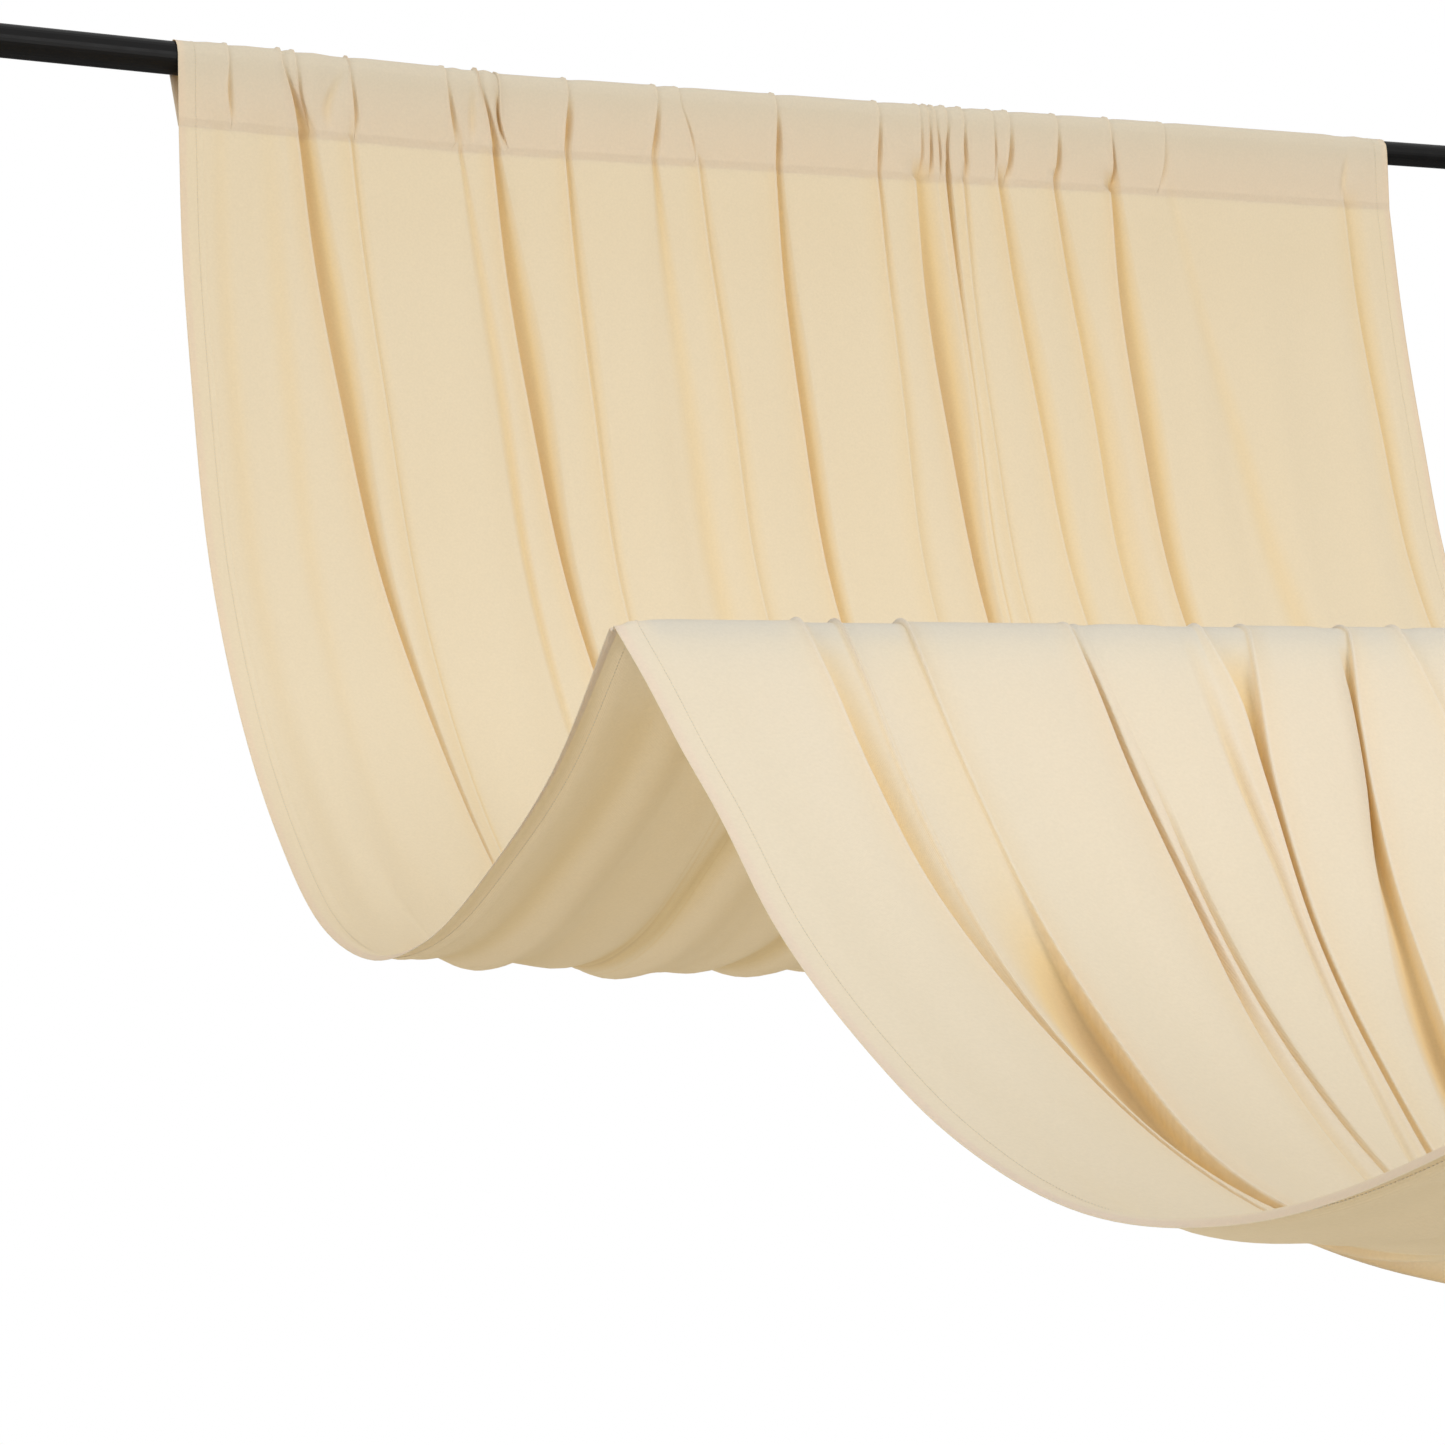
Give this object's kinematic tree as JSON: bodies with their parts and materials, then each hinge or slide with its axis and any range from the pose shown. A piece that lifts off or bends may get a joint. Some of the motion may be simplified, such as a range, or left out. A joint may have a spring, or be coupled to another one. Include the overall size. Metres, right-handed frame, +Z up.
{
  "type": "draped event curtain on poles",
  "caption": "Stretch cloth panel with a pole pocket at each end, hung from a high pole, laid over a lower one and carried up to a third, with a swag between each pair.",
  "frame": {"origin": "centre of the back pole's left end face", "axes": "+X along the poles to the right as seen from the front, +Y to the back, +Z up; the cloth comes forward along -Y"},
  "size_m": [1.7974, 2.3475, 0.9847],
  "materials": {
    "cream_stretch_cloth": "matt, fine plain weave, slightly translucent",
    "black_pole_paint": "satin black paint"
  },
  "bodies": {
    "root": {"curtain_panel": "cream_stretch_cloth", "back_pole_thick_length": "black_pole_paint", "back_pole_thin_length": "black_pole_paint", "middle_pole": "black_pole_paint", "front_pole": "black_pole_paint"}
  },
  "joints": []
}
